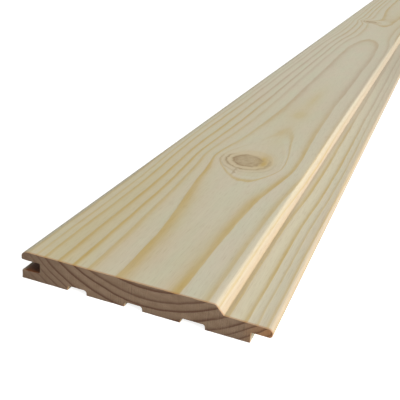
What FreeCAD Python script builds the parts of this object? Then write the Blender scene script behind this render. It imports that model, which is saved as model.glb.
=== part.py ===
"""Tongue and groove board: one length of planed pine lining board, with a bevel and a sunk shelf.

The board lies on its back. X runs across it, from the groove at -X to the tongue at +X, Y runs
along the grain, and Z is up. The section is drawn from the edge of the upper lip, at X = 0, and
from the back, at Z = 0. The finished board is then moved so that the origin is at the back,
under the middle of its width and length. All sizes are in millimetres.
"""
import FreeCAD, Part
import math
import os

# The stock
length = 2400.0
thickness = 14.0
cover_width = 110.6  # from the edge of the lower lip to the shoulder under the tongue

# The tongue, whose top is the end of the sunk shelf
tongue_length = 9.0
tongue_thickness = 4.5  # at the shoulder
tongue_tip_top_radius = 2.3
tongue_tip_bottom_radius = 1.3
tongue_root_radius = 0.4

# The face: its bevel goes down to the shelf, which falls a little towards the tongue
bevel_width = 4.0
bevel_arris_radius = 1.2
bevel_foot_radius = 1.0
shelf_width = 12.5  # from the foot of the bevel to the shoulder, so it shows when boards are joined
shelf_drop = 4.2  # from the face to the shelf, at the foot of the bevel
shelf_fall = 0.4  # from the foot of the bevel to the tip of the tongue

# The groove, sized for the tongue of the next board
joint_play = 0.1  # above and below that tongue
tip_gap = 0.3  # between the tip of that tongue and the root of the groove, when the boards touch
mouth_flare = 0.35  # how much lower the lower lip's top is at the mouth than at the root
upper_lip_overhang = 0.4  # past the lower lip, which is the one that touches the next shoulder
groove_root_radius = 0.7
lip_inner_radius = 0.6

# The outer edges
face_edge_chamfer = 1.8
face_edge_radius = 1.0
back_edge_radius = 0.3

# The relief channels in the back
relief_widths = (9.8, 8.8, 11.6)  # at the back, from the groove side to the tongue side
relief_depth = 2.4
relief_wall_lean = 0.5  # how far each wall leans in, from the back to the channel's bed
relief_bed_radius = 1.8
groove_side_ridge = 23.8  # from the edge of the lower lip to the first channel
tongue_side_ridge = 20.1  # from the last channel to the shoulder

shoulder_x = upper_lip_overhang + cover_width
bevel_foot_x = shoulder_x - shelf_width
total_width = shoulder_x + tongue_length


def shelf_height(x):
    """Returns the height of the shelf and of the tongue's top, which are one sloping plane."""
    fallen = (x - bevel_foot_x) / (total_width - bevel_foot_x)
    return thickness - shelf_drop - shelf_fall * fallen


def relief_corners():
    """Returns the corners of the channels, in order across the back, as (x, z, radius)."""
    first = upper_lip_overhang + groove_side_ridge + relief_widths[0] / 2
    last = shoulder_x - tongue_side_ridge - relief_widths[-1] / 2
    corners = []
    for number, width in enumerate(relief_widths):
        centre = first + (last - first) * number / (len(relief_widths) - 1)
        wall = width / 2
        bed = wall - relief_wall_lean
        corners += [
            (centre - wall, 0.0, 0.0),
            (centre - bed, relief_depth, relief_bed_radius),
            (centre + bed, relief_depth, relief_bed_radius),
            (centre + wall, 0.0, 0.0),
        ]
    return corners


def section_corners():
    """Returns the whole outline, once round from the lower lip, as (x, z, radius)."""
    tongue_bottom = shelf_height(shoulder_x) - tongue_thickness
    back = [
        (upper_lip_overhang, 0.0, back_edge_radius),
        *relief_corners(),
        (shoulder_x, 0.0, back_edge_radius),
    ]
    tongue = [
        (shoulder_x, tongue_bottom, tongue_root_radius),
        (total_width, tongue_bottom, tongue_tip_bottom_radius),
        (total_width, shelf_height(total_width), tongue_tip_top_radius),
    ]
    face = [
        (bevel_foot_x, shelf_height(bevel_foot_x), bevel_foot_radius),
        (bevel_foot_x - bevel_width, thickness, bevel_arris_radius),
        (face_edge_chamfer, thickness, face_edge_radius),
        (0.0, thickness - face_edge_chamfer, face_edge_radius),
    ]
    groove_root_x = upper_lip_overhang + tongue_length + tip_gap
    groove_root_bottom = tongue_bottom - joint_play
    groove = [
        (0.0, shelf_height(shoulder_x) + joint_play, lip_inner_radius),
        (groove_root_x, shelf_height(total_width) + joint_play, groove_root_radius),
        (groove_root_x, groove_root_bottom, groove_root_radius),
        (upper_lip_overhang, groove_root_bottom - mouth_flare, lip_inner_radius),
    ]
    return back + tongue + face + groove


def rounded_outline(corners):
    """Returns a closed wire in the XZ plane, with an arc of the given radius at each corner."""
    points = [FreeCAD.Vector(x, 0, z) for x, z, _ in corners]
    starts, ends, middles = [], [], []
    for i, (_, _, radius) in enumerate(corners):
        here = points[i]
        to_last = points[i - 1] - here
        to_next = points[(i + 1) % len(points)] - here
        half_angle = to_last.getAngle(to_next) / 2
        # The arc ends this far from the corner, and never past the middle of a side
        reach = min(radius / math.tan(half_angle), 0.49 * to_last.Length, 0.49 * to_next.Length)
        last_way = to_last.normalize()
        next_way = to_next.normalize()
        starts.append(here + last_way * reach)
        ends.append(here + next_way * reach)
        inwards = (last_way + next_way).normalize()
        arc_radius = reach * math.tan(half_angle)
        middles.append(here + inwards * (arc_radius / math.sin(half_angle) - arc_radius))
    edges = []
    for i, (_, _, radius) in enumerate(corners):
        if radius > 0:
            edges.append(Part.Arc(starts[i], middles[i], ends[i]).toShape())
        following = (i + 1) % len(corners)
        edges.append(Part.LineSegment(ends[i], starts[following]).toShape())
    return Part.Wire(edges)


def make_board():
    """Returns the board: the section carried along the whole length."""
    section = Part.Face(rounded_outline(section_corners()))
    board = section.extrude(FreeCAD.Vector(0, length, 0))
    board.translate(FreeCAD.Vector(-total_width / 2, -length / 2, 0))
    return board


os.makedirs("parts", exist_ok=True)
board = make_board()
board.exportStep("parts/board.step")
box = board.BoundBox
print(f"board: {box.XLength:.2f} x {box.YLength:.2f} x {box.ZLength:.2f} mm")
print(f"valid {board.isValid()}, solids {len(board.Solids)}, volume {board.Volume / 1e6:.4f} litres")
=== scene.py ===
"""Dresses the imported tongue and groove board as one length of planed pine.

The board lies on its back: X runs across it from the groove to the tongue, Y along the grain and
Z up out of its face. Sizes of the section, the growth rings and the knots are in millimetres.
They are measured from the edge of the upper lip, from the near sawn end and from the back, so
that a place on the stock reads (across, along, up).
"""
import logging
import math
from dataclasses import dataclass
from enum import Enum
from typing import Any

import bpy
import numpy as np
from mathutils import Matrix, Vector


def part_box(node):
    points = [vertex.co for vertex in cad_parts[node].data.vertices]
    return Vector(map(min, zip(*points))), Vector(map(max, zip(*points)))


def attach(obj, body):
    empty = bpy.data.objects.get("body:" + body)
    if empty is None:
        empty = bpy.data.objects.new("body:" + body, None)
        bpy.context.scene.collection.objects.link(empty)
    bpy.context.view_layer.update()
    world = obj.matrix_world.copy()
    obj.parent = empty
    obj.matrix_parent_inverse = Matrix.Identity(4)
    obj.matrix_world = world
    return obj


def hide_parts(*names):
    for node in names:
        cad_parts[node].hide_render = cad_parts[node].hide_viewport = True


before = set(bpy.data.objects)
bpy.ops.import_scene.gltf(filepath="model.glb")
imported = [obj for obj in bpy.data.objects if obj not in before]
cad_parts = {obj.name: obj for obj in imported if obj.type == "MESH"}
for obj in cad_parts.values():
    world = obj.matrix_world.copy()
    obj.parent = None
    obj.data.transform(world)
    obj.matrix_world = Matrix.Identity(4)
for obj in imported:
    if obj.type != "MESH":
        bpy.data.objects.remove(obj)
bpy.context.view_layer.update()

MM = 0.001
LOG = logging.getLogger("board")
Socket = bpy.types.NodeSocket
Tree = bpy.types.NodeTree
Material = bpy.types.Material
Colour = tuple[float, float, float, float]
Pair = tuple[float, float]
Curve = tuple[Pair, ...]
Spot = tuple[float, float, float]

# A colour mix's sockets go by number, because several of them have the same name
FACTOR = 0
COLOUR_BELOW = 6
COLOUR_ABOVE = 7
COLOUR_MIX = {"data_type": "RGBA", "output": 2}


def linear(sheet: str) -> Colour:
    """Turns a colour written as sRGB hex into linear light.

    Args:
        sheet: Six hex digits, red first.

    Returns:
        Red, green and blue from 0 to 1 in linear light, and an alpha of 1.
    """
    coded = np.array([int(sheet[i:i + 2], 16) / 255 for i in (0, 2, 4)])
    light = np.where(coded <= 0.04045, coded / 12.92, ((coded + 0.055) / 1.055) ** 2.4)
    return (*(float(part) for part in light), 1.0)


def add(
    tree: Tree,
    kind: str,
    *inputs: Any,
    named: dict[int | str, Any] | None = None,
    points: list[Pair] | None = None,
    output: int | str | None = 0,
    **settings: Any,
) -> Socket | None:
    """Adds one node with its settings and links.

    Args:
        tree: The node tree that gets the node.
        kind: The node's type without its ShaderNode prefix, and then the operation that it does or
            the way in which a MapRange goes from one end to the other, if it isn't the usual one.
        inputs: What goes into its first inputs, in order: a socket, a value, or None for neither.
        named: The same for inputs that are called by their names or numbers.
        points: Where the curve passes, from 0 to 1 each way and in order, if the node holds one.
        output: The output that is handed back.
        settings: Properties of the node.

    Returns:
        The chosen output of the new node, or None where output is None.
    """
    kind, _, way = kind.partition(" ")
    node = tree.nodes.new(kind if kind.startswith("NodeGroup") else "ShaderNode" + kind)
    if way:
        settings["interpolation_type" if kind == "MapRange" else "operation"] = way
    for name, value in settings.items():
        setattr(node, name, value)
    for key, value in [*enumerate(inputs), *(named or {}).items()]:
        if isinstance(value, Socket):
            tree.links.new(value, node.inputs[key])
        elif value is not None:
            node.inputs[key].default_value = value
    if points:
        curve = node.mapping.curves[0]
        for _ in points[2:]:
            curve.points.new(0.5, 0.5)
        for point, place in zip(curve.points, points):
            point.location = place
        node.mapping.update()
    return None if output is None else node.outputs[output]


def painted(tree: Tree, lowest: Colour, layers: list[tuple[Socket, str | Socket]]) -> Socket:
    """Lays colours over one another, the first one lowest.

    Args:
        tree: The material's tree.
        lowest: The colour underneath them all.
        layers: Each colour's share, from 0 to 1, and the colour, as sRGB hex or as a socket.

    Returns:
        The colour on top.
    """
    top: Colour | Socket = lowest
    for share, colour in layers:
        paint = linear(colour) if isinstance(colour, str) else colour
        top = add(tree, "Mix", named={FACTOR: share, COLOUR_BELOW: top, COLOUR_ABOVE: paint}, **COLOUR_MIX)
    return top


class Side(Enum):
    """The two ways in which the stock's surface was made, as the mesh's material indices."""

    PLANED = 0
    SAWN = 1


@dataclass(frozen=True)
class LiningSection:
    """The board's cross-section, in millimetres across from the upper lip and up from the back."""

    total_width: float
    thickness: float
    tongue_length: float = 9.0
    tongue_thickness: float = 4.5
    tongue_tip_radii: Pair = (1.3, 2.3)
    tongue_root_radius: float = 0.4
    bevel_width: float = 4.0
    bevel_radii: Pair = (1.0, 1.2)
    shelf_width: float = 12.5
    shelf_drop: float = 4.2
    shelf_fall: float = 0.4
    joint_play: float = 0.1
    tip_gap: float = 0.3
    mouth_flare: float = 0.35
    upper_lip_overhang: float = 0.4
    groove_root_radius: float = 0.7
    lip_inner_radius: float = 0.6
    face_edge_chamfer: float = 1.8
    face_edge_radius: float = 1.0
    back_edge_radius: float = 0.3
    relief_widths: tuple[float, ...] = (9.8, 8.8, 11.6)
    relief_depth: float = 2.4
    relief_wall_lean: float = 0.5
    relief_bed_radius: float = 1.8
    groove_side_ridge: float = 23.8
    tongue_side_ridge: float = 20.1
    most_of_side: float = 0.49
    arc_points: int = 9
    longest_step: float = 2.5
    shortest_step: float = 1e-6

    @property
    def shoulder(self) -> float:
        """How far across the shoulder under the tongue is."""
        return self.total_width - self.tongue_length

    @property
    def bevel_foot(self) -> float:
        """How far across the bevel meets the sunk shelf."""
        return self.shoulder - self.shelf_width

    @property
    def groove_root(self) -> float:
        """How far across the groove's root is."""
        return self.upper_lip_overhang + self.tongue_length + self.tip_gap

    @property
    def tongue_bottom(self) -> float:
        """The height of the tongue's lower side."""
        return self.shelf_height(self.shoulder) - self.tongue_thickness

    def shelf_height(self, across: float) -> float:
        """The height of the shelf and of the tongue's top, which are one sloping plane."""
        fallen = (across - self.bevel_foot) / (self.total_width - self.bevel_foot)
        return self.thickness - self.shelf_drop - self.shelf_fall * fallen

    def relief_corners(self) -> list[Spot]:
        """The corners of the channels in the back.

        Returns:
            Each corner as (across, up, radius), in order across the back.
        """
        first = self.upper_lip_overhang + self.groove_side_ridge + self.relief_widths[0] / 2
        last = self.shoulder - self.tongue_side_ridge - self.relief_widths[-1] / 2
        corners = []
        for centre, width in zip(np.linspace(first, last, len(self.relief_widths)), self.relief_widths):
            wall = width / 2
            bed = wall - self.relief_wall_lean
            corners += [
                (centre - wall, 0.0, 0.0),
                (centre - bed, self.relief_depth, self.relief_bed_radius),
                (centre + bed, self.relief_depth, self.relief_bed_radius),
                (centre + wall, 0.0, 0.0),
            ]
        return corners

    def corners(self) -> np.ndarray:
        """The whole outline, once round from the lower lip, along the back first.

        Returns:
            One row for each corner: across, up, radius.
        """
        groove_bottom = self.tongue_bottom - self.joint_play
        groove_top = self.shelf_height(self.total_width) + self.joint_play
        lower_tip, upper_tip = self.tongue_tip_radii
        foot_radius, arris_radius = self.bevel_radii
        return np.array([
            (self.upper_lip_overhang, 0.0, self.back_edge_radius),
            *self.relief_corners(),
            (self.shoulder, 0.0, self.back_edge_radius),
            (self.shoulder, self.tongue_bottom, self.tongue_root_radius),
            (self.total_width, self.tongue_bottom, lower_tip),
            (self.total_width, self.shelf_height(self.total_width), upper_tip),
            (self.bevel_foot, self.shelf_height(self.bevel_foot), foot_radius),
            (self.bevel_foot - self.bevel_width, self.thickness, arris_radius),
            (self.face_edge_chamfer, self.thickness, self.face_edge_radius),
            (0.0, self.thickness - self.face_edge_chamfer, self.face_edge_radius),
            (0.0, self.shelf_height(self.shoulder) + self.joint_play, self.lip_inner_radius),
            (self.groove_root, groove_top, self.groove_root_radius),
            (self.groove_root, groove_bottom, self.groove_root_radius),
            (self.upper_lip_overhang, groove_bottom - self.mouth_flare, self.lip_inner_radius),
        ])

    def outline(self) -> tuple[np.ndarray, np.ndarray]:
        """Rounds the corners and spaces points along the flats.

        A corner's arc touches both sides at reach = radius / tan(half the corner's angle), but
        never past the middle of a side. Its centre lies inwards on the bisector, at reach /
        cos(half the angle), and it turns by 180 degrees less the corner's angle. A flat is then
        divided into equal steps, each no longer than the longest step. Points are complex numbers,
        across + i times up, so that one turns about another by a multiplication.

        Returns:
            The points, and how far round an arc each lies: 0 at an arc's ends and on the flats, 1
            at its middle.
        """
        corners = self.corners()
        here = corners[:, :1] + 1j * corners[:, 1:2]
        to_last, to_next = np.roll(here, 1) - here, np.roll(here, -1) - here
        last_way, next_way = to_last / np.abs(to_last), to_next / np.abs(to_next)
        corner_angle = np.angle(last_way / next_way)
        half_angle = np.abs(corner_angle) / 2
        limit = self.most_of_side * np.minimum(np.abs(to_last), np.abs(to_next))
        reach = np.minimum(corners[:, 2:] / np.tan(half_angle), limit)
        centre = here + (last_way + next_way) * reach / (2 * np.cos(half_angle) ** 2)
        spoke = here + last_way * reach - centre
        share = np.linspace(0.0, 1.0, self.arc_points)
        turn = np.sign(corner_angle) * (math.pi - 2 * half_angle) * share
        points = (centre + spoke * np.exp(1j * turn)).ravel()
        roundness = np.where(reach > 0, np.sin(math.pi * share), 0.0).ravel()
        kept = np.abs(np.roll(points, -1) - points) > self.shortest_step
        points, roundness = points[kept], roundness[kept]
        step = np.roll(points, -1) - points
        pieces = np.ceil(np.abs(step) / self.longest_step).astype(int)
        owner = np.repeat(np.arange(len(points)), pieces)
        part = (np.arange(len(owner)) - np.repeat(np.cumsum(pieces) - pieces, pieces)) / pieces[owner]
        return points[owner] + step[owner] * part, np.where(part == 0, roundness[owner], 0.0)


@dataclass(frozen=True)
class Place:
    """A place on the stock in millimetres, whole and in its three parts, in one node tree."""

    whole: Socket
    across: Socket
    along: Socket
    up: Socket

    @classmethod
    def split(cls, tree: Tree, whole: Socket) -> "Place":
        """Makes the place that one vector holds."""
        across = add(tree, "SeparateXYZ", whole)
        return cls(whole, *across.node.outputs)


@dataclass(frozen=True)
class Noise:
    """Uneven spots of a real size in millimetres, across, along and up.

    The noise lies mostly within its spread of a half, and is stretched to go from low to high.
    """

    size: Spot
    low: float = 0.0
    high: float = 1.0
    detail: float = 2.5
    roughness: float = 0.55
    spread: float = 0.2

    def build(self, tree: Tree, place: Socket, shift: Socket | None = None) -> Socket:
        """Adds the noise.

        Args:
            tree: The node tree.
            place: The place on the stock.
            shift: What is added to the noise before it is stretched.

        Returns:
            A number from low to high.
        """
        scaled = add(tree, "VectorMath MULTIPLY", place, tuple(1 / part for part in self.size))
        named = {"Scale": 1.0, "Detail": self.detail, "Roughness": self.roughness}
        noise = add(tree, "TexNoise", scaled, named=named)
        if shift is not None:
            noise = add(tree, "Math ADD", noise, shift)
        return add(tree, "MapRange", noise, 0.5 - self.spread, 0.5 + self.spread, self.low, self.high)


@dataclass(frozen=True)
class Swell:
    """A place where something gathers: rings that bulge round a knot, or a warmer patch of wood.

    Its nearness is 1 in the middle and a half at its reach. Distances along the grain count for
    below and above times their length, on the two sides of the middle, and the one turns smoothly
    into the other within the turn. The middle moves across and along by lean for each millimetre
    under the face.
    """

    across: float
    along: float
    height: float
    reach: float
    below: float
    above: float
    lean: Pair = (0.0, 0.0)
    turn: float = 14.0

    def nearness(self, tree: Tree, place: Place, face_height: float) -> tuple[Socket, Socket, Socket]:
        """Works out how near a place is to the middle.

        Nearness is 1 / (1 + (distance / reach) squared).

        Args:
            tree: The node tree.
            place: The place on the stock.
            face_height: The height of the board's face.

        Returns:
            The distances from the middle across and along, and the nearness, from 0 to 1.
        """
        lean_across, lean_along = self.lean
        depth = add(tree, "Math SUBTRACT", face_height, place.up)
        middle_across = add(tree, "Math MULTIPLY_ADD", depth, lean_across, self.across)
        middle_along = add(tree, "Math MULTIPLY_ADD", depth, lean_along, self.along)
        aside = add(tree, "Math SUBTRACT", place.across, middle_across)
        ahead = add(tree, "Math SUBTRACT", place.along, middle_along)
        share = add(tree, "MapRange SMOOTHSTEP", ahead, -self.turn, self.turn, self.below, self.above)
        stretched = add(tree, "Math MULTIPLY", ahead, share)
        offset = add(tree, "CombineXYZ", aside, stretched)
        distance = add(tree, "VectorMath LENGTH", offset, output="Value")
        ratio = add(tree, "Math DIVIDE", distance, self.reach)
        spread = add(tree, "Math MULTIPLY_ADD", ratio, ratio, 1.0)
        return aside, ahead, add(tree, "Math DIVIDE", 1.0, spread)


Swells = tuple[Swell, ...]


@dataclass(frozen=True)
class Knot:
    """A branch that the board was cut through, with the rings that bulge round it.

    The heart is the branch's own brown wood. Round it lie a pale ring, a dark line of bark and
    paler, thinner lines, each a little further across than the last, and a drying crack runs down
    from it. The lengths are those of a knot with the drawn radius and grow with the knot's own,
    apart from the crack's widths. Where the lines fade and the halo ends is counted in radii.
    """

    swell: Swell
    radius: float
    drawn_radius: float = 10.0
    length_share: float = 0.83
    heart_shift: float = 3.2
    across: float = 1.8
    crack_range: Pair = (-31.0, -16.0)
    crack_tapers: Pair = (5.0, 2.0)
    crack_across: float = -1.4
    crack_widths: Pair = (0.2, 1.3)
    crack_darkness: float = 0.5
    fade_slope: float = 0.9
    fade_radii: Pair = (2.4, 1.5)
    halo_radii: Pair = (1.0, 2.3)
    raggedness: Noise = Noise((4.54545, 4.54545, 4.54545), -0.8, 0.8, 3.0, 0.5)
    flecks: Noise = Noise((3.33333, 3.33333, 3.33333), 0.55, 1.0, 4.0, 0.7, 0.15)
    paling: float = -0.014
    profile: Curve = (
        (0.0, 0.5), (0.12, 0.64), (0.2, 0.56), (0.3, 0.74), (0.36, 0.68), (0.44, 1.0), (0.48, 0.75),
        (0.53, 0.15), (0.6, 0.03), (0.66, 0.4), (0.7, 0.76), (0.73, 0.5), (0.79, 0.12), (0.85, 0.04),
        (0.91, 0.3), (0.95, 0.08), (1.0, 0.0),
    )

    def wood(
        self, tree: Tree, place: Place, aside: Socket, ahead: Socket, nearness: Socket
    ) -> tuple[Socket, Socket]:
        """Works out where the branch's own wood is, and the bark and the drying crack beside it.

        The knot's lines are a curve over the distance from its heart, in which two radii are 1.
        They are strong on its lower side and fade out above it. The heart pales to one side.

        Args:
            tree: The growth group.
            place: The place on the stock.
            aside: Its distance across from the swell's middle.
            ahead: Its distance along from there.
            nearness: How near it is to the middle.

        Returns:
            The warm wood round the knot and its dark stain, each from 0 to 1.
        """
        radius = self.radius
        scale = radius / self.drawn_radius
        centred = add(tree, "Math SUBTRACT", aside, self.across * scale)
        shifted = add(tree, "Math MULTIPLY_ADD", nearness, self.heart_shift * scale, centred)
        shortened = add(tree, "Math MULTIPLY", ahead, self.length_share)
        offset = add(tree, "CombineXYZ", shifted, shortened)
        distance = add(tree, "VectorMath LENGTH", offset, output="Value")
        uneven = self.raggedness.build(tree, place.whole)
        from_heart = add(tree, "Math ADD", distance, uneven)
        share = add(tree, "Math DIVIDE", from_heart, radius * 2)
        lines = add(tree, "FloatCurve", 1.0, share, points=list(self.profile))
        rising = add(tree, "Math MULTIPLY_ADD", from_heart, self.fade_slope, ahead)
        faded, whole = self.fade_radii
        lower = add(tree, "MapRange SMOOTHSTEP", rising, radius * faded, radius * whole, 0.0, 1.0)
        paler = add(tree, "Math MULTIPLY", centred, self.paling)
        fading = add(tree, "Math MULTIPLY", lines, lower)
        stain = add(tree, "Math MULTIPLY", fading, self.flecks.build(tree, place.whole, paler))
        inner, outer = self.halo_radii
        halo = add(tree, "MapRange SMOOTHSTEP", from_heart, radius * inner, radius * outer, 1.0, 0.0)
        crack = self.crack(tree, aside, ahead, uneven)
        return halo, add(tree, "Math MAXIMUM", stain, crack)

    def crack(self, tree: Tree, aside: Socket, ahead: Socket, uneven: Socket) -> Socket:
        """Works out where the drying crack is.

        Args:
            tree: The growth group.
            aside: The place's distance across from the swell's middle.
            ahead: Its distance along from there.
            uneven: How far the crack wanders there.

        Returns:
            How dark the crack is, from 0 up.
        """
        scale = self.radius / self.drawn_radius
        low, high = self.crack_range
        low_taper, high_taper = self.crack_tapers
        dark_width, whole_width = self.crack_widths
        wandering = add(tree, "Math ADD", uneven, aside)
        beside = add(tree, "Math SUBTRACT", wandering, self.crack_across * scale)
        width = add(tree, "Math ABSOLUTE", beside)
        narrow = add(
            tree, "MapRange SMOOTHSTEP", width, dark_width, whole_width, self.crack_darkness, 0.0
        )
        starts = add(tree, "MapRange", ahead, low * scale, (low + low_taper) * scale, 0.0, 1.0)
        stops = add(tree, "MapRange", ahead, (high - high_taper) * scale, high * scale, 1.0, 0.0)
        window = add(tree, "Math MULTIPLY", starts, stops)
        return add(tree, "Math MULTIPLY", narrow, window)


@dataclass(frozen=True)
class PineGrowth:
    """How the tree grew: its rings round a wandering pith, and its branches.

    The pith lies above the board's face, so that the rings show on the sawn end as bowls. A ring
    is its radius, where its winter wood ends, and how strong that wood's colour is. The pith's
    heights above the face and the wood's vividness go with distances along the board, and the
    season gives winter wood over a year. The amber and golden patches have colours of their own,
    and winter wood is faint in the faint ones. The rosy patches on the bevel and the tongue's tip
    are a painted warm cast of the lamp's light, partly a warmer tone of the wood. The first pale
    patch is painted bounce light from the bevel onto the shelf, the second a paler tone. The
    grey-brown patches are painted shade, along the chamfer that faces away from the lamp and over
    the bevel and shelf far from the near end.
    """

    face_height: float
    length: float
    outputs: tuple[str, ...] = (
        "Winter", "Strength", "Vivid", "Halo", "Stain", "Amber", "Rosy_light", "Pale", "Golden", "Worn",
    )
    rings: Curve = (
        (26.5, 0.2), (30.6, 0.2), (34.9, 0.2), (39.1, 0.2), (43.2, 0.25), (47.3, 0.2), (50.9, 0.1),
        (51.9, 0.64), (56.15, 0.78), (61, 0.55), (64.8, 0.9), (69.3, 0.85), (74.1, 0.75), (77.1, 0.5),
        (80.2, 0.5), (83.3, 0.4), (86.8, 0.45), (90, 0.4), (93.6, 0.4), (97, 0.4), (101, 0.4),
    )
    pith_across: float = 62.8
    pith_heights: Curve = (
        (0, 54), (60, 54.1), (100, 54.1), (120, 53.9), (140, 53.4), (160, 53.2),
        (180, 53), (220, 52.45), (262, 52.55), (300, 52.75), (420, 52.8), (620, 53.2),
        (700, 54.6), (820, 57), (1000, 54.4), (1200, 52.4), (1450, 55.8), (1700, 58.5),
        (1950, 55), (2150, 52.6), (2400, 56),
    )
    pith_height_range: Pair = (50, 60)
    vividness: Curve = (
        (0, 1), (120, 1), (300, 0.55), (460, 0.1), (620, 0.18), (850, 0.6), (1300, 0.8),
        (1700, 0.4), (2400, 0.9),
    )
    season: Curve = (
        (0, 0.5), (0.04, 0.14), (0.1, 0.02), (0.4, 0.03), (0.6, 0.16), (0.74, 0.5), (0.84, 0.88),
        (0.93, 1), (1, 0.62),
    )
    knots: tuple[Knot, ...] = (
        Knot(Swell(55, 174, 23, 10, 1.2, 0.85, (-0.137, 0.35)), 10),
        Knot(Swell(40, 905, 20, 9, 1.1, 0.8, (-0.2, 0.3)), 8.5),
        Knot(Swell(84, 1490, 16, 7, 1.1, 0.85, (0.2, 0.3)), 6.5),
        Knot(Swell(48, 2060, 22, 9.5, 1.15, 0.8, (-0.15, 0.35)), 9),
    )
    swells: Swells = (Swell(40, 125, 2.4, 12, 0.3, 0.3),)
    amber_patches: Swells = (
        Swell(18, 40, 0.7, 19, 0.12, 0.12),
        Swell(61, 246, 0.6, 4.5, 0.25, 0.3),
        Swell(61, 301, 0.95, 4.2, 0.45, 0.4),
        Swell(61.5, 358, 0.75, 4.2, 0.12, 0.12),
        Swell(86, 1150, 0.8, 24, 0.1, 0.12),
        Swell(30, 1800, 0.9, 26, 0.12, 0.1),
    )
    # Painted warm cast of the lamp's light on the lamp-facing bevel and the tongue's tip, partly a warmer
    # tone of the wood
    rosy_tone_and_light_patches: Swells = (
        Swell(98.1, 0, 0.95, 2.1, 0.001, 0.0018),
        Swell(120.5, 0, 0.9, 3, 0.001, 0.0005),
    )
    # The first is painted bounce light from the bright bevel onto the shelf beside it, the second a paler
    # tone of the wood
    pale_tone_and_bounce_patches: Swells = (
        Swell(103.5, 120, 1, 6.5, 0.02, 0.02),
        Swell(92, 1750, 0.7, 18, 0.05, 0.05),
    )
    golden_patches: Swells = (
        Swell(66.4, 173, 1, 2, 0.4, 0.3),
        Swell(64, 182, 0.7, 1.7, 0.4, 0.35),
    )
    # Painted shade: along the chamfer that faces away from the lamp, and over the bevel and shelf far from
    # the near end
    shade_patches: Swells = (
        Swell(1.2, 0, 0.55, 1, 0.0005, 0.0005),
        Swell(108, 600, 0.36, 16, 0.12, 0.05),
    )
    faint_patches: Swells = (
        Swell(49, 218, 1, 8, 0.35, 0.3),
        Swell(63, 258, 0.5, 6, 0.4, 0.4),
        Swell(96.1, 0, 0.5, 1.2, 0.0004, 0.0004),
        Swell(99.6, 0, 0.42, 1.6, 0.0004, 0.0004),
    )
    slow_waver: Noise = Noise((26, 110, 26), -0.4, 0.4, 2.0, 0.45, 0.25)
    tremble: Noise = Noise((5, 24, 5), -0.13, 0.13, 2.0, 0.5, 0.25)

    def group(self) -> Tree:
        """Builds the growth as a node group that both finishes read.

        Returns:
            The group. It takes a place on the stock in millimetres. It gives the winter wood from
            0 to 1, how strong that year's colour is, how golden the wood is there, the warm wood
            round knots, the knots' dark stain, the amber patches, the rosy patches of painted warm
            light and warmer wood, the pale patches with their painted bounce light, the golden
            patches, the patches of painted shade, and the place along undisturbed fibres.
        """
        tree = bpy.data.node_groups.new("pine_growth", "ShaderNodeTree")
        tree.interface.new_socket("Place", in_out="INPUT", socket_type="NodeSocketVector")
        for name in self.outputs:
            tree.interface.new_socket(name, in_out="OUTPUT", socket_type="NodeSocketFloat")
        tree.interface.new_socket("Fibre", in_out="OUTPUT", socket_type="NodeSocketVector")
        place = Place.split(tree, add(tree, "NodeGroupInput"))
        pull = fibre_shift = halo = stain = 0.0
        for knot in self.knots:
            aside, ahead, nearness = knot.swell.nearness(tree, place, self.face_height)
            pull = add(tree, "Math MULTIPLY_ADD", nearness, knot.swell.height, pull)
            fibre_shift = add(tree, "Math MULTIPLY_ADD", aside, nearness, fibre_shift)
            round_knot, dark = knot.wood(tree, place, aside, ahead, nearness)
            halo = add(tree, "Math MAXIMUM", halo, round_knot)
            stain = add(tree, "Math MAXIMUM", stain, dark)
        pull = self.gathered(tree, place, self.swells, pull)
        kinds = (
            self.amber_patches, self.rosy_tone_and_light_patches, self.pale_tone_and_bounce_patches, self.golden_patches, self.shade_patches
        )
        patches = [self.gathered(tree, place, swells) for swells in kinds]
        drawn = add(tree, "Math SUBTRACT", self.ring_radius(tree, place), pull)
        winter, full = self.winter_wood(tree, drawn)
        faint = self.gathered(tree, place, self.faint_patches)
        kept = add(tree, "Math SUBTRACT", 1.0, faint, use_clamp=True)
        strength = add(tree, "Math MULTIPLY", full, kept)
        distance = add(tree, "Math DIVIDE", place.along, self.length)
        vividness = [(y / self.length, value) for y, value in self.vividness]
        vivid = add(tree, "FloatCurve", 1.0, distance, points=vividness)
        straight = add(tree, "Math SUBTRACT", place.across, fibre_shift)
        fibre = add(tree, "CombineXYZ", straight, place.along, place.up)
        outside = tree.nodes.new("NodeGroupOutput")
        given = (winter, strength, vivid, halo, stain, *patches, fibre)
        for socket, value in zip(outside.inputs, given):
            tree.links.new(value, socket)
        return tree

    def gathered(
        self, tree: Tree, place: Place, swells: Swells, total: Socket | float = 0.0
    ) -> Socket | float:
        """Adds up swells: each one's nearness times its height.

        Args:
            tree: The group.
            place: The place on the stock.
            swells: The swells.
            total: What they are added to.

        Returns:
            The sum.
        """
        for swell in swells:
            nearness = swell.nearness(tree, place, self.face_height)[2]
            total = add(tree, "Math MULTIPLY_ADD", nearness, swell.height, total)
        return total

    def ring_radius(self, tree: Tree, place: Place) -> Socket:
        """Works out a place's distance from the pith, with a slow waver and a small tremble.

        Args:
            tree: The group.
            place: The place on the stock.

        Returns:
            The distance in millimetres.
        """
        low, high = self.pith_height_range
        share = add(tree, "Math DIVIDE", place.along, self.length)
        heights = [(y / self.length, (height - low) / (high - low)) for y, height in self.pith_heights]
        level = add(tree, "FloatCurve", 1.0, share, points=heights)
        above_face = add(tree, "MapRange", level, 0.0, 1.0, low, high)
        pith_up = add(tree, "Math ADD", above_face, self.face_height)
        aside = add(tree, "Math SUBTRACT", place.across, self.pith_across)
        below = add(tree, "Math SUBTRACT", pith_up, place.up)
        spoke = add(tree, "CombineXYZ", aside, below)
        distance = add(tree, "VectorMath LENGTH", spoke, output="Value")
        wavered = add(tree, "Math ADD", distance, self.slow_waver.build(tree, place.whole))
        return add(tree, "Math ADD", wavered, self.tremble.build(tree, place.whole))

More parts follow.
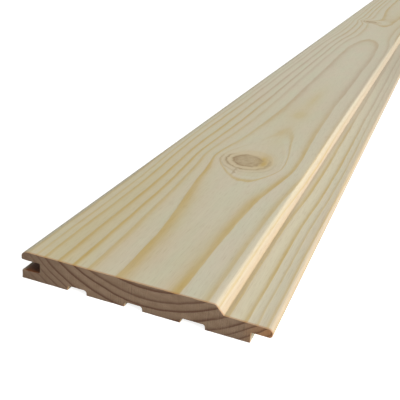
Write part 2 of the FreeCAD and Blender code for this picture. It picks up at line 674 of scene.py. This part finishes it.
    def winter_wood(self, tree: Tree, radius: Socket) -> tuple[Socket, Socket]:
        """Turns a distance from the pith into the year's winter wood.

        A curve through the ring radii counts the rings. The fraction of that count is the time of
        the year: growth is pale in spring, darkens slowly and ends in a sharp edge.

        Args:
            tree: The group.
            radius: The distance from the pith, as the knots leave it.

        Returns:
            The winter wood from 0 to 1, and how strong its colour is.
        """
        radii = [radius for radius, _ in self.rings]
        first, last = radii[0], radii[-1]
        years = len(radii) - 1
        share = add(tree, "MapRange", radius, first, last, 0.0, 1.0)
        counted = [((each - first) / (last - first), number / years) for number, each in enumerate(radii)]
        count = add(tree, "FloatCurve", 1.0, share, points=counted)
        age = add(tree, "Math MULTIPLY", count, float(years))
        season = add(tree, "Math FRACT", age)
        whole = add(tree, "Math FLOOR", age)
        winter = add(tree, "FloatCurve", 1.0, season, points=list(self.season))
        middle = add(tree, "Math MULTIPLY_ADD", whole, 1 / years, 0.5 / years)
        strengths = [((number + 0.5) / years, ring[1]) for number, ring in enumerate(self.rings[1:])]
        return winter, add(tree, "FloatCurve", 1.0, middle, points=strengths)


def stock_place(tree: Tree, low: Vector) -> Socket:
    """Gives the place on the stock in millimetres: (object coordinates - lowest corner) x 1000.

    Args:
        tree: The material's tree.
        low: The lowest corner of the stock, in metres.

    Returns:
        The place.
    """
    objects = add(tree, "TexCoord", output="Object")
    from_corner = add(tree, "VectorMath SUBTRACT", objects, tuple(low))
    return add(tree, "VectorMath SCALE", from_corner, named={"Scale": 1 / MM})


def new_material(name: str) -> tuple[Material, Tree]:
    """Starts a material with an empty node tree.

    Args:
        name: What the surface is made of and how.

    Returns:
        The material and its tree.
    """
    material = bpy.data.materials.new(name)
    material.use_nodes = True
    material.node_tree.nodes.clear()
    return material, material.node_tree


@dataclass(frozen=True)
class PlanedPine:
    """Planed bare pine, cut along the grain.

    Planing leaves it smooth but not glossy. Spring wood is a pale grey cream, winter wood a soft
    gold that spreads where the cut lies flat to the rings, and fibres show as fine streaks. The
    last fibres before a sawn end are bruised brown, and the groove's walls get painted shade, a
    dark brown that deepens toward the root.
    """

    spring: str = "C1C3AC"
    blush: str = "C6BFAB"
    amber: str = "BDB28A"
    # Painted warm cast of the lamp's light on the bevel and the tongue's tip, partly warmer wood
    rosy_tone_and_light: str = "BCAD92"
    # Painted shade in grey-brown, on the chamfer that faces away from the lamp and on the far bevel and
    # shelf
    worn: str = "968C78"
    # Partly painted bounce light on the shelf beside the bevel, partly a paler tone of the wood
    pale: str = "D0CCB0"
    gold: str = "B69F60"
    tan: str = "B1A48D"
    halo: str = "C3B48F"
    stain: str = "8A7450"
    resin: str = "8A6A3A"
    bruise: str = "A87443"
    # Painted shade: a dark brown laid on the groove's walls, deepening toward the root
    groove_shade: str = "5C300A"
    resin_share: float = 0.2
    halo_share: float = 0.7
    stain_share: float = 0.9
    bruise_share: float = 0.6
    bruise_range: Pair = (0.2, 1.1)
    groove_shade_range: Pair = (0.3, 2.6)
    groove_shade_share: float = 0.98
    # Real fibres are about 0.04 mm wide and resin canals 0.2 mm, so both are drawn coarser to show
    fibres: Noise = Noise((0.55, 26, 0.55), 0.97, 1.03)
    canals: Noise = Noise((0.4, 9, 0.4), -1.6, 1.0)
    clouds: Noise = Noise((11, 42, 11))
    fading: Noise = Noise((9, 40, 9), 0.82, 1.24)
    cutter_mark_pitch: float = 1.6
    cutter_mark_height: float = 0.06
    winter_height: float = 0.8
    relief: float = 0.00004
    roughness: float = 0.6
    specular: float = 0.25

    def material(self, growth: Tree, low: Vector, section: LiningSection, length: float) -> Material:
        """Builds the material.

        Args:
            growth: The growth group.
            low: The lowest corner of the stock, in metres.
            section: The board's section.
            length: The stock's length in millimetres.

        Returns:
            The material.
        """
        material, tree = new_material("pine_planed")
        place = Place.split(tree, stock_place(tree, low))
        grown = add(tree, "Group", place.whole, node_tree=growth).node.outputs
        winter = grown["Winter"]
        fibre = grown["Fibre"]
        streak = self.fibres.build(tree, fibre)
        canal = add(tree, "Math MAXIMUM", self.canals.build(tree, fibre), 0.0)
        strength = add(tree, "Math MULTIPLY", grown["Strength"], self.fading.build(tree, place.whole))
        wood = painted(tree, linear(self.spring), [
            (self.clouds.build(tree, place.whole), self.blush),
            (grown["Amber"], self.amber),
            # Partly painted bounce light on the shelf beside the bevel, partly a paler tone of the wood
            (grown["Pale"], self.pale),
            # Painted warm light on the bevel and the tongue's tip, partly warmer wood
            (grown["Rosy_light"], self.rosy_tone_and_light),
            (
                add(tree, "Math MULTIPLY", winter, strength),
                painted(tree, linear(self.tan), [(grown["Vivid"], self.gold)]),
            ),
            (add(tree, "Math MULTIPLY", canal, self.resin_share), self.resin),
            (add(tree, "Math MULTIPLY", grown["Halo"], self.halo_share), self.halo),
            (grown["Golden"], self.gold),
            (add(tree, "Math MULTIPLY", grown["Stain"], self.stain_share), self.stain),
            (self.near_end(tree, place, length), self.bruise),
            # Painted shade on the chamfer away from the lamp and on the far bevel and shelf
            (grown["Worn"], self.worn),
            # Painted shade in the groove
            (self.in_groove(tree, place, section), self.groove_shade),
        ])
        streaked = add(tree, "VectorMath SCALE", wood, named={"Scale": streak})
        turns = add(tree, "Math MULTIPLY", place.along, 2 * math.pi / self.cutter_mark_pitch)
        ripple = add(tree, "Math SINE", turns)
        raised = add(tree, "Math MULTIPLY_ADD", winter, self.winter_height, streak)
        height = add(tree, "Math MULTIPLY_ADD", ripple, self.cutter_mark_height, raised)
        bump = add(tree, "Bump", named={"Distance": self.relief, "Height": height})
        surface = add(tree, "BsdfPrincipled", named={
            "Base Color": streaked,
            "Roughness": self.roughness,
            "Specular IOR Level": self.specular,
            "Normal": bump,
        })
        add(tree, "OutputMaterial", surface, output=None)
        return material

    def near_end(self, tree: Tree, place: Place, length: float) -> Socket:
        """Finds the bruised fibres beside both sawn ends.

        Args:
            tree: The material's tree.
            place: The place on the stock.
            length: The stock's length in millimetres.

        Returns:
            The bruise's share at an end, and 0 further from it than the bruise is long.
        """
        whole, gone = self.bruise_range
        other = add(tree, "Math SUBTRACT", length, place.along)
        nearest = add(tree, "Math MINIMUM", place.along, other)
        return add(tree, "MapRange", nearest, whole, gone, self.bruise_share, 0.0)

    def in_groove(self, tree: Tree, place: Place, section: LiningSection) -> Socket:
        """Finds the walls of the groove, which get painted shade in dark brown.

        They lie between the lips, a little wider than the tongue with its play, and no further in
        than the root.

        Args:
            tree: The material's tree.
            place: The place on the stock.
            section: The board's section.

        Returns:
            A number that rises from 0 at the mouth to nearly 1 deep inside.
        """
        start, end = self.groove_shade_range
        half_height = section.tongue_thickness / 2 + section.mouth_flare + section.joint_play * 2
        middle = section.tongue_bottom + section.tongue_thickness / 2
        between = add(tree, "Math COMPARE", place.up, middle, half_height)
        inside = add(tree, "MapRange", place.across, start, end, 0.0, self.groove_shade_share)
        root = section.groove_root + section.joint_play
        wall = add(tree, "Math LESS_THAN", place.across, root)
        deep = add(tree, "Math MULTIPLY", inside, wall)
        return add(tree, "Math MULTIPLY", deep, between)


@dataclass(frozen=True)
class SawnPine:
    """The same pine, cross-cut by a saw.

    The open ends of the fibres drink the light, so that the end is browner than the face, and
    winter wood shows as thin red-brown lines. Painted shade darkens its foot and the side toward
    the groove, where the lines are faint, and the tongue's thin wood glows warmer.
    """

    spring: str = "937A60"
    pale: str = "A58C72"
    winter: str = "5E3E29"
    warm: str = "C08A58"
    # Painted shade, laid at the end's foot and toward the groove
    end_shade: str = "5E4B3C"
    line_narrowing: float = 1.08
    faintest_line: float = 0.4
    faint_range: Pair = (2.0, 18.0)
    warm_before_shoulder: float = 4.0
    warm_share: float = 0.9
    outer_width: float = 34.0
    outer_share: float = 0.42
    foot_range: Pair = (0.2, 3.5)
    foot_share: float = 0.5
    # Real pores are about 0.04 mm across, so they are drawn coarser to show
    pores: Noise = Noise((0.35, 2, 0.35), 0.92, 1.08)
    clouds: Noise = Noise((5, 5, 3))
    saw_marks: Noise = Noise((0.5, 5, 14))
    pore_height: float = 4.0
    relief: float = 0.00008
    roughness: float = 0.8

    def material(self, growth: Tree, low: Vector, section: LiningSection) -> Material:
        """Builds the material.

        Args:
            growth: The growth group.
            low: The lowest corner of the stock, in metres.
            section: The board's section.

        Returns:
            The material.
        """
        material, tree = new_material("pine_sawn_end")
        place = Place.split(tree, stock_place(tree, low))
        grown = add(tree, "Group", place.whole, node_tree=growth).node.outputs
        cloud = self.clouds.build(tree, place.whole)
        faint, clear = self.faint_range
        strength = add(tree, "MapRange", grown["Strength"], 0.0, 1.0, self.faintest_line, 1.0)
        clearer = add(tree, "MapRange", place.across, faint, clear, self.faintest_line, 1.0)
        narrow = add(tree, "Math POWER", grown["Winter"], self.line_narrowing)
        darkness = add(tree, "Math MULTIPLY", strength, clearer)
        warm_from = section.shoulder - self.warm_before_shoulder
        bottom, clean = self.foot_range
        foot = add(tree, "MapRange", place.up, bottom, clean, self.foot_share, 0.0)
        wood = painted(tree, linear(self.spring), [
            (cloud, self.pale),
            (
                add(tree, "MapRange", place.across, warm_from, section.total_width, 0.0, self.warm_share),
                self.warm,
            ),
            # Painted shade toward the groove and at the end's foot
            (add(tree, "MapRange", place.across, 0.0, self.outer_width, self.outer_share, 0.0), self.end_shade),
            (add(tree, "Math MULTIPLY", foot, cloud), self.end_shade),
            (add(tree, "Math MULTIPLY", narrow, darkness), self.winter),
        ])
        pores = self.pores.build(tree, place.whole)
        dotted = add(tree, "VectorMath SCALE", wood, named={"Scale": pores})
        marks = self.saw_marks.build(tree, place.whole)
        height = add(tree, "Math MULTIPLY_ADD", pores, self.pore_height, marks)
        bump = add(tree, "Bump", named={"Distance": self.relief, "Height": height})
        named = {"Base Color": dotted, "Roughness": self.roughness, "Normal": bump}
        add(tree, "OutputMaterial", add(tree, "BsdfPrincipled", named=named), output=None)
        return material


def waver(place: np.ndarray, wavelengths: tuple[float, ...], seed: int) -> np.ndarray:
    """Makes a smooth uneven line: the mean of sines of the given wavelengths at seeded phases.

    Args:
        place: Where along the line, in millimetres.
        wavelengths: The sines' wavelengths in millimetres.
        seed: Picks the phases.

    Returns:
        The line's height at each place, from -1 to 1.
    """
    phases = np.random.default_rng(seed).uniform(0, 2 * math.pi, len(wavelengths))
    turns = 2 * math.pi * place[:, None] / np.array(wavelengths)
    return np.sin(turns + phases).mean(axis=1)


@dataclass(frozen=True)
class Board:
    """The board itself: its section carried along the stock, with worn edges and broken ends."""

    low: Vector
    high: Vector
    seed: int = 11
    station_step: float = 16.0
    end_steps: tuple[float, ...] = (0.0, 0.05, 0.12, 0.22, 0.4)
    end_wear: float = 0.22
    break_spread: float = 0.7
    break_lengths: tuple[float, ...] = (3.1, 5.3, 11.0, 2.3)
    edge_wear: float = 0.1
    wear_lengths: tuple[float, ...] = (610.0, 233.0, 97.0, 61.0)
    sharpest_smooth: float = math.radians(32)

    @property
    def section(self) -> LiningSection:
        """The section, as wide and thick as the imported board."""
        return LiningSection((self.high.x - self.low.x) / MM, (self.high.z - self.low.z) / MM)

    @property
    def length(self) -> float:
        """The board's length in millimetres."""
        return (self.high.y - self.low.y) / MM

    def stations(self) -> np.ndarray:
        """The places along the board that the section is carried to, closer at the two ends.

        Returns:
            Their distances from the near end, in order.
        """
        near = np.array(self.end_steps)
        inner = np.linspace(near[-1], self.length - near[-1], round(self.length / self.station_step))
        return np.concatenate([near, inner[1:-1], self.length - near[::-1]])

    def inset(self, stations: np.ndarray, outline: np.ndarray, roundness: np.ndarray) -> np.ndarray:
        """How far the surface lies inside the true section, in millimetres.

        At a sawn end it is the end wear times (1 - distance from the end / last end step) squared,
        uneven round the section. Along the edges it is the edge wear times the roundness there,
        uneven along the board.

        Args:
            stations: The places along the board.
            outline: The section's points, as complex numbers.
            roundness: How far round an arc each point lies.

        Returns:
            One row for each station and one column for each point.
        """
        round_way = np.cumsum(np.abs(outline - np.roll(outline, 1)))
        uneven = 1 + self.break_spread * waver(round_way, self.break_lengths, self.seed)
        from_end = np.minimum(stations, self.length - stations)
        closeness = np.clip(1 - from_end / self.end_steps[-1], 0, 1) ** 2
        wearing = (1 + waver(stations, self.wear_lengths, self.seed + 1)) / 2
        broken = closeness[:, None] * (self.end_wear * uneven)
        return broken + (self.edge_wear * wearing)[:, None] * roundness

    def mesh(self) -> bpy.types.Mesh:
        """Carries the section along the board.

        A point is the outline's point less the inset along its outward normal, which is the
        outline's direction turned a quarter to the right. Each pair of stations is joined by one
        ring of four-sided faces, and a face closes each end.

        Returns:
            The mesh, in metres.
        """
        outline, roundness = self.section.outline()
        stations = self.stations()
        way = np.roll(outline, -1) - np.roll(outline, 1)
        outward = -1j * way / np.abs(way)
        placed = outline - self.inset(stations, outline, roundness) * outward
        along = np.broadcast_to(stations[:, None], placed.shape)
        points = np.stack([placed.real, along, placed.imag], axis=2).reshape(-1, 3)
        count = len(outline)
        ring = np.arange(count)
        following = np.roll(ring, -1)
        start = np.arange(len(stations) - 1)[:, None] * count
        here, after = start + ring, start + following
        sides = np.stack([here, here + count, after + count, after], axis=2)
        far_end = (len(stations) - 1) * count + ring[::-1]
        faces = [*sides.reshape(-1, 4).tolist(), ring.tolist(), far_end.tolist()]
        mesh = bpy.data.meshes.new("pine_board")
        mesh.from_pydata((points * MM + np.array(self.low)).tolist(), [], faces)
        finish = np.full(len(faces), Side.PLANED.value, dtype=np.int32)
        finish[-2:] = Side.SAWN.value
        mesh.polygons.foreach_set("material_index", finish)
        mesh.polygons.foreach_set("use_smooth", np.ones(len(faces), dtype=bool))
        mesh.set_sharp_from_angle(angle=self.sharpest_smooth)
        mesh.update()
        return mesh

    def build(self) -> bpy.types.Object:
        """Makes the board's object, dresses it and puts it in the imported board's place.

        Returns:
            The object.
        """
        board = bpy.data.objects.new("pine_board", self.mesh())
        bpy.context.scene.collection.objects.link(board)
        growth = PineGrowth(self.section.thickness, self.length).group()
        finishes = {
            Side.PLANED: PlanedPine().material(growth, self.low, self.section, self.length),
            Side.SAWN: SawnPine().material(growth, self.low, self.section),
        }
        for side in Side:
            board.data.materials.append(finishes[side])
        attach(board, "root")
        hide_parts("board")
        return board


def seen_directly(tree: Tree) -> Socket:
    """Tells the rays that show the stage itself, straight, in a gloss or through glass.

    Args:
        tree: The tree of the floor's material or of the sky.

    Returns:
        1 for those rays and 0 for the rest.
    """
    camera = add(tree, "LightPath", output="Is Camera Ray")
    glossy = add(tree, "Math MAXIMUM", camera, camera.node.outputs["Is Glossy Ray"])
    through = camera.node.outputs["Is Transmission Ray"]
    return add(tree, "Math MAXIMUM", glossy, through)


@dataclass(frozen=True)
class SoftLamp:
    """A square lamp that lights a card facing it, at the place it is aimed at, to the given level."""

    name: str
    place: Spot
    aim: Spot
    size: float
    level: float
    tint: str

    def build(self) -> bpy.types.Object:
        """Makes the lamp. Its power is level x pi squared x distance squared.

        Returns:
            The lamp's object.
        """
        data = bpy.data.lights.new(self.name, "AREA")
        data.shape = "SQUARE"
        data.size = self.size
        data.color = linear(self.tint)[:3]
        beam = Vector(self.aim) - Vector(self.place)
        data.energy = self.level * math.pi ** 2 * beam.length_squared
        lamp = bpy.data.objects.new(self.name, data)
        lamp.location = self.place
        lamp.rotation_euler = beam.to_track_quat("-Z", "Y").to_euler()
        bpy.context.scene.collection.objects.link(lamp)
        return lamp


@dataclass(frozen=True)
class Studio:
    """A white floor without end, soft light from all round and one broad lamp on the tongue side."""

    near_end: float
    floor_size: float = 60.0
    floor_drop: float = 0.0001
    white: str = "FFFFFF"
    floor_colour: str = "E6E6E4"
    floor_bounce: str = "727270"
    floor_glow: float = 0.82
    sky_levels: Pair = (0.14, 0.8)

    def side_lamp(self) -> SoftLamp:
        """The broad lamp, placed from the board's near end."""
        place, aim = (4.6, self.near_end - 1.0, 2.15), (0.0, self.near_end + 0.2, 0.0)
        return SoftLamp("side_lamp", place, aim, size=2.5, level=1.27, tint="FFF6F6")

    def floor(self) -> bpy.types.Object:
        """Makes the floor: a pale matt surface that shows as white, with the board's shadow on it.

        Returns:
            The floor.
        """
        half = self.floor_size / 2
        mesh = bpy.data.meshes.new("studio_floor")
        square = ((-half, -half), (half, -half), (half, half), (-half, half))
        mesh.from_pydata([(x, y, -self.floor_drop) for x, y in square], [], [(0, 1, 2, 3)])
        floor = bpy.data.objects.new("studio_floor", mesh)
        bpy.context.scene.collection.objects.link(floor)
        material, tree = new_material("matt_white_floor")
        unseen = add(tree, "BsdfDiffuse", linear(self.floor_bounce))
        matt = add(tree, "BsdfDiffuse", linear(self.floor_colour))
        glow = add(tree, "Emission", linear(self.white), self.floor_glow)
        lifted = add(tree, "AddShader", matt, glow)
        shown = add(tree, "MixShader", seen_directly(tree), unseen, lifted)
        add(tree, "OutputMaterial", shown, output=None)
        mesh.materials.append(material)
        return floor

    def sky(self) -> None:
        """Lights the board softly from all round, more on the lamp's side, and shows as white."""
        world = bpy.data.worlds.new("studio")
        bpy.context.scene.world = world
        world.use_nodes = True
        tree = world.node_tree
        tree.nodes.clear()
        way = add(tree, "SeparateXYZ", add(tree, "TexCoord", output="Generated"))
        level = add(tree, "MapRange", way, -1.0, 1.0, *self.sky_levels)
        light = add(tree, "Background", linear(self.white), level)
        backdrop = add(tree, "Background", linear(self.white), 1.0)
        shown = add(tree, "MixShader", seen_directly(tree), light, backdrop)
        add(tree, "OutputWorld", shown, output=None)

    def build(self) -> None:
        """Makes the floor, the sky and the lamp."""
        self.floor()
        self.sky()
        self.side_lamp().build()


@dataclass(frozen=True)
class PhotoCamera:
    """The photograph's camera, placed in millimetres on the stock's own scale."""

    low: Vector
    place: Spot = (160.8, -231.2, 165.8)
    heading: float = math.radians(-18.52)
    dip: float = math.radians(23.67)
    roll: float = math.radians(5.32)
    lens: float = 60.96
    clip_start: float = 0.01

    def build(self) -> bpy.types.Object:
        """Makes the camera.

        It starts level, looking along the grain. It is rolled about its line of sight, then dipped
        and then turned to its heading, which counts from the grain toward the tongue.

        Returns:
            The camera.
        """
        data = bpy.data.cameras.new("photo_camera")
        data.lens = self.lens
        data.clip_start = self.clip_start
        camera = bpy.data.objects.new("photo_camera", data)
        place = Matrix.Translation(self.low + Vector(self.place) * MM)
        heading = Matrix.Rotation(-self.heading, 4, "Z")
        dip = Matrix.Rotation(math.pi / 2 - self.dip, 4, "X")
        camera.matrix_world = place @ heading @ dip @ Matrix.Rotation(self.roll, 4, "Z")
        bpy.context.scene.collection.objects.link(camera)
        bpy.context.scene.camera = camera
        return camera


def main() -> None:
    """Builds the camera, the board and the studio."""
    logging.basicConfig(level=logging.INFO, format="%(name)s: %(message)s")
    low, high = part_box("board")
    PhotoCamera(low).build()
    board = Board(low, high).build()
    LOG.info("%s has %d faces", board.name, len(board.data.polygons))
    Studio(low.y).build()
    LOG.info("the studio is lit")
    bpy.context.scene.view_settings.view_transform = "Standard"


if __name__ == "__main__":
    main()
